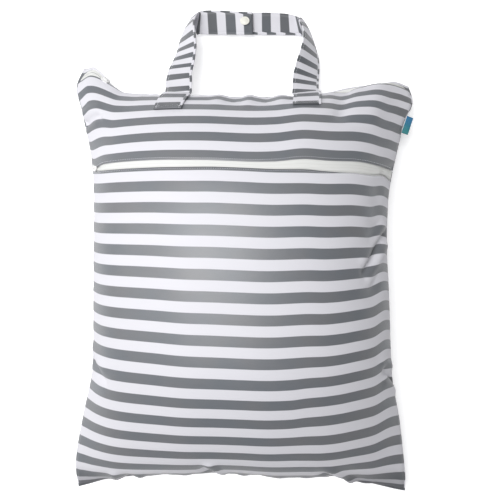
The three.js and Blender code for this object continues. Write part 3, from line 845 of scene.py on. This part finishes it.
def wall(piece, thickness, offset=1.0):
    """Gives a sheet its thickness, outward for an offset of 1."""
    solid = piece.modifiers.new("wall", "SOLIDIFY")
    solid.thickness = thickness * MM
    solid.offset = offset
    solid.use_even_offset = False
    return piece


SEAM_PINCH = 5.0  # stretch over which the cloth thins to the crease at a seam


def seam_distance(u, v):
    return min((1 - abs(u)) * HALF_WIDTH, (1 - abs(v)) * HALF_HEIGHT)


def pinched(face, side):
    """The face, sunk a little beside the seams, so that front and back meet in a crease."""

    def place(u, v):
        sink = (CLOTH - GAP / 2) * (1 - smoothstep(0, SEAM_PINCH, seam_distance(u, v)))
        return face(u, v) - normal_of(face, u, v, side) * sink

    return place


# Panels
def rim_of_lower(u):
    """Folded edge of the lower panel: it crosses a stripe's edge toward the right."""
    return LOWER_RIM - 3.6 * smoothstep(0.3, 0.62, u)


TOP_ZIP_SHOWN = [(-1, 9), (-0.9, 8), (-0.8, 4.5), (-0.66, 1), (-0.3, 1.2), (0.2, 0.8), (0.4, 2), (0.55, 4),
                 (0.8, 5), (0.93, 7), (1, 8)]


def top_inset(u, y):
    """How far the front cloth is drawn in below the top zip, most at the corners."""
    return smoothstep(205, 250, y) * (read(TOP_ZIP_SHOWN, u) + 0.5)


def flat_upper(u, v):
    return u * HALF_WIDTH, mix(UPPER_RIM, HALF_HEIGHT, v)


def flat_lower(u, v):
    return u * HALF_WIDTH, mix(-HALF_HEIGHT, rim_of_lower(u), v) + PRINT_STEP


def place_lower(u, v):
    return pinched(front, 1)(u, mix(-HALF_HEIGHT, rim_of_lower(u), v) / HALF_HEIGHT)


def place_upper(u, v):
    x, y = flat_upper(u, v)
    return pinched(front, 1)(u, (y - top_inset(u, y)) / HALF_HEIGHT)


def share_rows(count, start_dense, end_dense):
    """Shares from 0 to 1, closer together at the start or end where asked."""
    rows = []
    for i in range(count + 1):
        s = i / count
        rows.append(s + start_dense * s * (s - 1) * (1 - s) - end_dense * s * s * (s - 1))
    return rows


lower = keep(laid_grid(near_seams(150), share_rows(150, 0.5, 0), place_lower, flat_lower),
             "front_lower_cloth", lower_cloth, "front_lower_panel")
upper = keep(laid_grid(near_seams(150), share_rows(56, 0, 0.4), place_upper, flat_upper),
             "front_upper_cloth", striped_cloth, "front_upper_panel")
rear = keep(laid_grid(near_seams(120), near_seams(130), pinched(back, -1),
                      lambda u, v: (u * HALF_WIDTH, v * HALF_HEIGHT + PRINT_STEP)),
            "back_cloth", striped_cloth, "back_panel")
for sheet, flat in ((lower, (0.4, 0.3775)), (upper, (0.4, 0.1135))):
    wall(sheet, CLOTH)
wall(rear, CLOTH, -1.0)


# Zips
TOP_ZIP_LINE = 245.6
TOP_ZIP_TAPES = (234.0, 249.8)
COIL_DEPTH = TAPE * 2 + GAP * 2


def tape_strip(name, node, low, high, depth, face=front, side=1):
    """A strip of zip tape under the folded edges, between two rows of the flat cloth."""

    def flat(u, v):
        return u * HALF_WIDTH, mix(low(u), high(u), v)

    def place(u, v):
        y = flat(u, v)[1] / HALF_HEIGHT
        return face(u, y) - normal_of(face, u, y, side) * depth

    piece = keep(laid_grid(near_seams(120), share_rows(8, 0, 0), place, flat), name, zip_tape, node)
    wall(piece, TAPE)
    return piece


def level(value):
    return lambda u: value


tape_strip("front_zip_lower_tape", "front_zip_tape_lower",
           lambda u: rim_of_lower(u) - TAPE_TUCK, lambda u: rim_of_lower(u) + 0.9, TAPE + GAP)
tape_strip("front_zip_upper_tape", "front_zip_tape_upper",
           lambda u: rim_of_lower(u) + 1.1, level(UPPER_RIM + TAPE_TUCK), TAPE + GAP)
tape_strip("top_zip_front_tape", "top_zip_tape_front", level(TOP_ZIP_TAPES[0]),
           level(TOP_ZIP_LINE - 0.1), TAPE + GAP)
tape_strip("top_zip_back_tape", "top_zip_tape_back", level(TOP_ZIP_LINE + 0.1),
           level(TOP_ZIP_TAPES[1]), TAPE + GAP)


COIL_WIRE = 0.35
COIL_PITCH = 1.5
COIL_REACH = 2.4


def coil_turns(name, node, reach, y, depth):
    """Zip coil: a flat helix of thin wire behind the middle of the tapes."""
    curve = bpy.data.curves.new(name, "CURVE")
    curve.dimensions = "3D"
    curve.bevel_depth = COIL_WIRE * MM
    curve.bevel_resolution = 1
    turns = int(2 * reach * HALF_WIDTH / COIL_PITCH)
    spline = curve.splines.new("POLY")
    steps = 8
    spline.points.add(turns * steps)
    for i, point in enumerate(spline.points):
        u = mix(-reach, reach, i / (turns * steps))
        angle = math.tau * i / steps
        out = normal_of(front, u, y / HALF_HEIGHT)
        row = (y + COIL_REACH * math.cos(angle)) / HALF_HEIGHT
        place = front(u, row) - out * (depth + 0.7 - 0.5 * math.sin(angle))
        point.co = (*to_frame(place), 1)
    made = bpy.data.objects.new(name, curve)
    bpy.context.scene.collection.objects.link(made)
    data = bpy.data.meshes.new_from_object(made.evaluated_get(bpy.context.evaluated_depsgraph_get()))
    bpy.data.objects.remove(made)
    mesh = bmesh.new()
    mesh.from_mesh(data)
    return keep(mesh, name, coil_plastic, node)


coil_turns("front_zip_turns", "front_zip_coil", 0.94, ZIP_LINE, COIL_DEPTH)
coil_turns("top_zip_turns", "top_zip_coil", 0.62, TOP_ZIP_LINE, COIL_DEPTH)


def on_zip(u, y):
    """Frame on a zip: its columns run along it, across it toward the crown, and out of the bag."""
    v = y / HALF_HEIGHT
    out = normal_of(front, u, v)
    along = (front(min(u + 0.01, 1), v) - front(max(u - 0.01, -1), v)).normalized()
    across = out.cross(along)
    turn = Matrix((along, across, out)).transposed().to_4x4()
    return Matrix.Translation(front(u, v)) @ turn


def slider(name, node, u, y, turn, droop):
    """Zip slider: a rounded body that rides in the tapes, a bridge and a pull with a hole."""
    mesh = bmesh.new()
    body = bmesh.ops.create_cube(mesh, size=1)["verts"]
    bmesh.ops.scale(mesh, vec=(10, 7, 2.0), verts=body)
    bmesh.ops.translate(mesh, vec=(0, 0, 1.0), verts=body)
    bridge = bmesh.ops.create_cube(mesh, size=1)["verts"]
    bmesh.ops.scale(mesh, vec=(6.5, 2.2, 2.0), verts=bridge)
    bmesh.ops.translate(mesh, vec=(0, 0, 2.6), verts=bridge)
    bmesh.ops.bevel(mesh, geom=mesh.edges[:], offset=0.7, segments=3, profile=0.5, affect="EDGES",
                    material=-1, offset_type="OFFSET")
    pull = bmesh.new()
    outline = bmesh.ops.create_circle(pull, cap_ends=True, segments=28, radius=1)["verts"]
    for vert in outline:
        x, z = vert.co.x, vert.co.y
        vert.co = (9.0 + 8.0 * math.copysign(abs(x) ** 0.7, x), 3.2 * math.copysign(abs(z) ** 0.8, z), 0)
    face = pull.faces[:]
    rim = bmesh.ops.inset_region(pull, faces=face, thickness=1.5)
    hole = [f for f in pull.faces if f not in rim["faces"]]
    bmesh.ops.delete(pull, geom=hole, context="FACES")
    bmesh.ops.solidify(pull, geom=pull.faces[:], thickness=1.2)
    bmesh.ops.recalc_face_normals(pull, faces=pull.faces)
    bmesh.ops.rotate(pull, matrix=Matrix.Rotation(math.radians(droop), 3, "Y"), verts=pull.verts)
    bmesh.ops.rotate(pull, matrix=Matrix.Rotation(math.radians(turn), 3, "Z"), verts=pull.verts)
    bmesh.ops.translate(pull, vec=(0, 0, 3.4), verts=pull.verts)
    spare = bpy.data.meshes.new(name + "_pull")
    pull.to_mesh(spare)
    pull.free()
    mesh.from_mesh(spare)
    bpy.data.meshes.remove(spare)
    place = Matrix.Scale(MM, 4) @ Matrix.Translation(BAG_MIDDLE) @ on_zip(u, y)
    bmesh.ops.transform(mesh, matrix=place, verts=mesh.verts)
    return keep(mesh, name, enamel, node)


slider("front_slider", "front_zip_slider", -0.95, ZIP_LINE, 200, 8)
slider("top_slider", "top_zip_slider", -0.84, TOP_ZIP_LINE, 180, 6)


# Handle: each strap is swept through rows that lie on its stripes' edges, from the bag to its free end.
# A row has the outer and then the inner edge of the leg: across and down the picture, and the height in mm.
# At the corner the strap folds over, so that the inner edge runs on as the far edge of the bar.
LEFT_ROWS = [
    (165.0, 93.4, 57.0, 191.9, 91.2, 59.0),
    (166.0, 88.2, 48.0, 192.0, 86.0, 55.5),
    (166.4, 81.6, 41.0, 192.0, 78.2, 51.0),
    (167.6, 75.6, 34.5, 191.8, 73.2, 48.0),
    (169.2, 70.0, 31.0, 193.2, 67.0, 45.0),
    (170.8, 66.4, 28.0, 194.2, 63.0, 44.0),
    (173.0, 62.0, 25.0, 195.0, 57.0, 42.0),
    (174.8, 58.4, 22.5, 195.8, 51.5, 40.5),
    (176.8, 53.4, 19.5, 196.2, 46.0, 39.5),
    (178.0, 49.8, 17.5, 196.0, 41.0, 38.5),
    (179.2, 45.0, 15.5, 195.5, 34.5, 37.0),
    (180.8, 39.8, 12.5, 194.6, 29.0, 34.5),
    (184.8, 29.8, 7.0, 194.2, 21.3, 30.0),
    (187.4, 25.6, 4.5, 194.8, 18.6, 26.0),
    (192.3, 18.6, 2.5, 197.2, 13.6, 20.0),
    (196.2, 33.4, 7.5, 199.2, 12.0, 6.0),
    (199.7, 33.6, 8.6, 200.7, 11.3, 2.2),
    (208.6, 33.9, 8.7, 207.2, 10.7, 1.8),
    (217.8, 34.1, 8.9, 216.2, 10.6, 2.0),
    (226.6, 34.2, 10.0, 225.2, 11.0, 3.2),
    (236.4, 34.3, 12.6, 235.0, 11.6, 5.4),
    (244.3, 34.4, 13.8, 243.0, 12.1, 6.6),
    (253.2, 34.4, 13.8, 252.4, 12.5, 6.6),
]
RIGHT_ROWS = [
    (318.4, 93.5, 57.0, 292.3, 94.0, 58.0),
    (318.5, 91.0, 50.0, 292.5, 89.3, 55.0),
    (318.4, 87.0, 43.0, 292.5, 83.2, 51.0),
    (318.4, 83.3, 38.0, 293.0, 78.7, 48.0),
    (318.5, 81.0, 34.5, 293.4, 73.0, 45.5),
    (318.7, 77.6, 30.0, 295.0, 67.3, 44.0),
    (319.0, 72.0, 26.0, 296.6, 61.0, 42.5),
    (319.0, 67.3, 21.5, 298.7, 55.0, 41.0),
    (318.6, 61.0, 17.5, 300.8, 48.4, 39.5),
    (317.8, 56.5, 14.0, 302.4, 43.0, 38.0),
    (315.8, 49.6, 10.0, 303.6, 37.4, 36.5),
    (313.8, 43.0, 7.0, 303.6, 30.8, 33.0),
    (309.0, 30.5, 4.0, 301.8, 25.6, 29.0),
    (305.2, 23.6, 3.0, 300.0, 22.0, 24.0),
    (300.4, 18.6, 2.5, 298.2, 18.4, 16.0),
    (302.0, 35.2, 7.0, 298.0, 17.0, 6.0),
    (299.4, 35.0, 8.4, 295.2, 16.0, 2.2),
    (289.8, 34.8, 8.5, 288.4, 14.2, 1.8),
    (280.4, 34.6, 8.5, 279.8, 13.4, 1.6),
    (271.0, 34.5, 8.5, 270.6, 12.9, 1.6),
    (262.0, 34.4, 8.3, 261.8, 12.8, 1.4),
    (252.7, 34.3, 8.0, 252.7, 12.9, 1.4),
    (243.5, 34.2, 7.8, 243.5, 13.0, 1.4),
    (236.5, 34.0, 7.8, 236.5, 13.0, 1.4),
]
TAB_ROWS = 8
CORNER_ROW = 14  # the row at the fold itself, which isn't a stripe's edge
FIRST_EDGE = UPPER_RIM + 10 * STRIPE  # where the bag's own last white stripe ends
HEM_BAND = 3.0
HEM_SHIFT = 6.0  # the hem's stripes lie this far beside the strap's


def seen(x, y, height):
    """Place at a height that the camera sees at a place in the 500 x 500 picture."""
    scale = FOCAL_LENGTH / SENSOR * PICTURE / (CAMERA_HEIGHT - height)
    right, down = (x - PICTURE / 2) / scale, (y - PICTURE / 2) / scale
    return Vector((CAMERA_PLACE[0] + right, CAMERA_PLACE[1] - down, height))


def strap_edges(side, rows, tab, slant):
    """Rows of a strap: place along it, outer edge and inner edge; first the tab on the bag."""
    foot = (side * LEG_SPAN / 2 - seam_patch(0, 1)[0].x) / ((right_seam(1).x - left_seam(1).x) / 2)
    edges = []
    for i in range(TAB_ROWS + 1):
        y = mix(HALF_HEIGHT - tab, HALF_HEIGHT - 4, i / TAB_ROWS)
        u = foot + side * slant * (HALF_HEIGHT - y) / HALF_WIDTH
        pair = []
        for edge in (1, -1):
            at = u + side * edge * STRAP_WIDTH / 2 / HALF_WIDTH * 0.99
            out = normal_of(front, at, y / HALF_HEIGHT)
            lift = CLOTH + GAP + STRAP_THICKNESS / 2 + EDGE_LIFT * i / TAB_ROWS
            pair.append(front(at, y / HALF_HEIGHT) + out * lift)
        edges.append((y, *pair[0], *pair[1]))
    for i, row in enumerate(rows):
        stripes = i if i < CORNER_ROW else i - 1
        edges.append((FIRST_EDGE + stripes * STRIPE, *seen(*row[:3]), *seen(*row[3:])))
    return edges


def strap(name, node, side, rows, tab, slant, hem_side):
    """A strap with its tab sewn on the bag; its sections and outward directions carry the stitches."""
    edges = strap_edges(side, rows, tab, slant)
    table = [(i, *row) for i, row in enumerate(edges)]
    last, fine = len(edges) - 1, 5
    steps = last * fine
    sections = []
    for i in range(steps + 1):
        values = [read(table, i / fine, c) for c in range(1, 8)]
        sections.append((values[0], Vector(values[1:4]), Vector(values[4:7])))
    lengths = [0.0]
    for before, after in zip(sections, sections[1:]):
        lengths.append(lengths[-1] + ((after[1] + after[2] - before[1] - before[2]) / 2).length)

    def out_of(i):
        before, after = sections[max(i - 1, 0)], sections[min(i + 1, steps)]
        ahead = (after[1] + after[2] - before[1] - before[2]).normalized()
        across = (sections[i][2] - sections[i][1]).normalized() * -side
        return across.cross(ahead).normalized()

    outs = [out_of(i) for i in range(steps + 1)]

    def place(u, v):
        i = round(v * steps)
        _, outer, inner = sections[i]
        puff = 0.5 * (1 - abs(u) ** 8) - 0.45 * math.exp(-(((abs(u) - 0.83) / 0.05) ** 2))
        return (outer + inner) / 2 + (inner - outer) * (u / 2) + outs[i] * puff

    def flat(u, v):
        shift = HEM_SHIFT if u * hem_side > 1 - 2 * HEM_BAND / STRAP_WIDTH else 0.0
        return u * STRAP_WIDTH / 2, sections[round(v * steps)][0] + shift

    mesh = laid_grid(near_seams(26), [i / steps for i in range(steps + 1)], place, flat)
    piece = keep(mesh, name, strap_cloth, node)
    wall(piece, STRAP_THICKNESS * 0.8, 0.0)
    return sections, outs


left_strap = strap("strap_left", "handle_strap_left", -1, LEFT_ROWS,
                   tab=46, slant=0.11, hem_side=1)
right_strap = strap("strap_right", "handle_strap_right", 1, RIGHT_ROWS,
                    tab=40, slant=0.0, hem_side=-1)

# Sewing: short stitches of thread laid along a line of places and outward directions
STITCH_THICKNESS = 0.24
HEM_STITCHES = 0.83  # where a strap's stitches run, as a share of half its width


def sewn(name, lines, length, gap, thickness=STITCH_THICKNESS):
    """Rows of stitches, each a small rounded capsule that follows its line."""
    mesh = bmesh.new()
    for places, outs in lines:
        run = [0.0]
        for before, after in zip(places, places[1:]):
            run.append(run[-1] + (after - before).length)

        def at(distance):
            i = 0
            while i < len(run) - 2 and run[i + 1] < distance:
                i += 1
            share = clamp((distance - run[i]) / max(run[i + 1] - run[i], 1e-6), 0, 1)
            return places[i].lerp(places[i + 1], share), outs[i].lerp(outs[i + 1], share).normalized()

        count = int(run[-1] / (length + gap))
        for k in range(count):
            start, end = k * (length + gap) + gap / 2, k * (length + gap) + gap / 2 + length
            (a, out), (b, _), (middle, _) = at(start), at(end), at((start + end) / 2)
            ahead = (b - a).normalized()
            side = out.cross(ahead).normalized()
            top = ahead.cross(side)
            made = bmesh.ops.create_icosphere(mesh, subdivisions=1, radius=1)["verts"]
            turn = Matrix((ahead * (length / 2), side * thickness, top * thickness * 0.7)).transposed()
            for vert in made:
                vert.co = to_frame(middle + top * thickness * 0.3 + turn @ vert.co)
    return keep(mesh, name, thread)


def panel_line(low_u, high_u, y_of, lift=CLOTH, count=160):
    """A line of places on the front's outer face."""
    places, outs = [], []
    for i in range(count + 1):
        u = mix(low_u, high_u, i / count)
        v = y_of(u) / HALF_HEIGHT
        out = normal_of(front, u, v)
        places.append(front(u, v) + out * lift)
        outs.append(out)
    return places, outs


def on_strap(section, share):
    """Place across a strap's section, from -1 at its outer edge to 1 at its inner edge."""
    _, outer, inner = section
    return (outer + inner) / 2 + (inner - outer) * (share / 2)


def strap_line(strap_made, share):
    """A line of places along a strap, on its outer face."""
    sections, outs = strap_made
    lift = STRAP_THICKNESS * 0.4
    return [on_strap(section, share) + out * lift for section, out in zip(sections, outs)], outs


def zigzag(strap_made, row, length, swing, turns):
    """A bar tack: a zigzag across a strap at one of its sections."""
    sections, outs = strap_made
    places, marks = [], []
    for k in range(turns * 2 + 1):
        i = row + (swing if k % 2 else 0)
        share = mix(-length, length, k / (turns * 2))
        places.append(on_strap(sections[i], share) + outs[i] * (STRAP_THICKNESS * 0.4 + 0.3))
        marks.append(outs[i])
    return places, marks


sewn("panel_stitches", [
    panel_line(-0.985, 0.985, lambda u: rim_of_lower(u) - 1.6),
    panel_line(-0.985, 0.985, level(UPPER_RIM + 2.2)),
], 1.5, 0.9)
strap_rows_sewn = []
for made in (left_strap, right_strap):
    for share in (-HEM_STITCHES, HEM_STITCHES):
        strap_rows_sewn.append(strap_line(made, share))
    strap_rows_sewn.append(zigzag(made, 2, 0.9, 3, 14))
sewn("strap_stitches", strap_rows_sewn, 1.9, 0.8)


# Side label: a ribbon folded on itself, its cut ends caught in the right seam
LABEL_PLACE = 0.785
LABEL_LENGTH = 22.5
LABEL_REACH = 7.6
LABEL_GAP = 0.45


def label():
    """The ribbon's loop: out from the seam, round its fold and back."""

    def seam(at):
        return front(1, at)

    half = LABEL_LENGTH / 2 / HALF_HEIGHT
    along = (seam(LABEL_PLACE + half) - seam(LABEL_PLACE - half)).normalized()
    outward = along.cross(UP).normalized()
    over = outward.cross(along) * -1
    root = seam(LABEL_PLACE) + outward * 1.2
    bend = LABEL_REACH - LABEL_GAP
    path = [(bend * i / 6, -LABEL_GAP) for i in range(6)]
    for turned in (0, 0.8, 1.57, 2.35, math.pi):
        path.append((bend + LABEL_GAP * math.sin(turned), -LABEL_GAP * math.cos(turned)))
    path += [(bend * i / 6, LABEL_GAP) for i in range(5, -1, -1)]
    last = len(path) - 1

    def place(u, v):
        out, up = path[round(v * last)]
        wave = 0.5 * math.sin(u * 2.6) * out / LABEL_REACH
        return root + along * (u * LABEL_LENGTH / 2) + outward * out + over * (up + wave)

    def flat(u, v):
        return u * LABEL_LENGTH / 2, v * 2 * LABEL_REACH

    piece = keep(laid_grid(even(24), [i / last for i in range(last + 1)], place, flat),
                 "label_loop", ribbon, "side_label")
    wall(piece, 0.4, 0.0)


label()


# Snap: the cap is a turned dome with a rolled rim; socket, stud and back keep their CAD shapes
def snap_cap():
    mesh = bmesh.new()
    profile = [(0.0, 1.75), (1.6, 1.7), (2.9, 1.5), (3.9, 1.15), (4.3, 0.95), (4.6, 1.0), (5.1, 1.1),
               (5.6, 0.95), (5.9, 0.55), (5.75, 0.15), (5.2, 0.0), (0.0, 0.0)]
    verts = [mesh.verts.new((r, 0, z)) for r, z in profile]
    edges = [mesh.edges.new(pair) for pair in zip(verts, verts[1:])]
    bmesh.ops.spin(mesh, geom=verts + edges, cent=(0, 0, 0), axis=(0, 0, 1), angle=math.tau, steps=48,
                   use_merge=True, use_duplicate=False)
    bmesh.ops.remove_doubles(mesh, verts=mesh.verts, dist=0.001)
    bmesh.ops.recalc_face_normals(mesh, faces=mesh.faces)
    across = Vector((1, 0, 0))
    turn = Matrix((across, BAR_OUT.cross(across), BAR_OUT)).transposed().to_4x4()
    seat = Matrix.Translation(seen(*SNAP_PLACE))
    bmesh.ops.transform(mesh, verts=mesh.verts,
                        matrix=Matrix.Scale(MM, 4) @ Matrix.Translation(BAG_MIDDLE) @ seat @ turn)
    keep(mesh, "snap_dome", snap_plastic, "snap_cap")


snap_cap()
for node in ("snap_socket", "snap_stud", "snap_back"):
    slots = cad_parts[node].data.materials
    slots.clear()
    slots.append(snap_plastic)


# Floor, light and camera
def floor():
    mesh = bmesh.new()
    bmesh.ops.create_grid(mesh, x_segments=1, y_segments=1, size=3)
    data = bpy.data.meshes.new("floor")
    mesh.to_mesh(data)
    mesh.free()
    piece = bpy.data.objects.new("floor", data)
    bpy.context.scene.collection.objects.link(piece)
    pale = Material("pale_floor")
    pale.set(Base_Color=(0.9, 0.9, 0.905, 1), Roughness=0.9)
    pale.set(Emission_Color=(1, 1, 1, 1), Emission_Strength=0.45)
    data.materials.append(pale.material)


def soft_light(name, place, aim, size, power):
    light = bpy.data.lights.new(name, "AREA")
    light.shape, light.size, light.energy = "SQUARE", size, power
    made = bpy.data.objects.new(name, light)
    made.location = place
    made.rotation_euler = (Vector(aim) - Vector(place)).to_track_quat("-Z", "Y").to_euler()
    bpy.context.scene.collection.objects.link(made)


floor()
scene = bpy.context.scene
scene.view_settings.view_transform = "Standard"
scene.world = bpy.data.worlds.new("studio")
scene.world.use_nodes = True
sky = scene.world.node_tree.nodes["Background"]
sky.inputs["Color"].default_value = (1, 1, 1, 1)
sky.inputs["Strength"].default_value = 0.13
soft_light("overhead_softbox", (-0.4, 0.22, 1.6), (0, 0, 0), 0.95, 27.5)
soft_light("left_softbox", (-1.25, 0.15, 0.95), (0, 0, 0.05), 0.8, 5)

camera_data = bpy.data.cameras.new("camera")
camera_data.lens = FOCAL_LENGTH
camera_data.sensor_width = SENSOR
camera = bpy.data.objects.new("camera", camera_data)
camera.location = to_frame(Vector((*CAMERA_PLACE, CAMERA_HEIGHT)))
scene.collection.objects.link(camera)
scene.camera = camera
